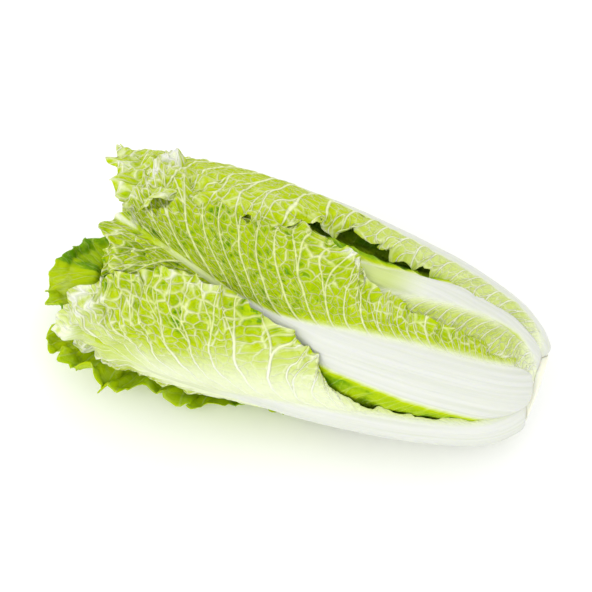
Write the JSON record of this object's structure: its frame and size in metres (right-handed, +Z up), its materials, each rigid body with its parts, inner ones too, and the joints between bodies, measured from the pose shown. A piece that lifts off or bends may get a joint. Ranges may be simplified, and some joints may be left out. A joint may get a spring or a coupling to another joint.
{
  "type": "napa cabbage",
  "caption": "Whole head of napa cabbage, cut at the stem and lying on its side, with broad white midribs and crinkled, wrapped leaves.",
  "frame": {"origin": "middle of the head's footprint, at the height of the surface it rests on", "axes": "+X along the head to the cut stem end, -X to the leaf tips, -Y to the front, +Z up"},
  "size_m": [0.3268, 0.1518, 0.1546],
  "materials": {
    "outer_leaf": "crinkled yellow-green leaf with pale raised veins and a waxy white midrib",
    "inner_leaf": "pale green to yellow leaf with a smooth pale midrib",
    "heart_leaf": "pale yellow crumpled leaf",
    "cut_stem": "moist cut stem, off-white with a faint ring"
  },
  "bodies": {
    "root": {"leaf_a": "outer_leaf", "leaf_b": "outer_leaf", "leaf_c": "outer_leaf", "leaf_d": "outer_leaf", "leaf_g": "outer_leaf", "leaf_f": "inner_leaf", "leaf_h": "inner_leaf", "leaf_i": "inner_leaf", "leaf_j": "inner_leaf", "leaf_k": "inner_leaf", "leaf_l": "inner_leaf", "leaf_m": "inner_leaf", "leaf_n": "inner_leaf", "leaf_o": "inner_leaf", "heart": "heart_leaf", "stem_core": "cut_stem"}
  },
  "joints": []
}
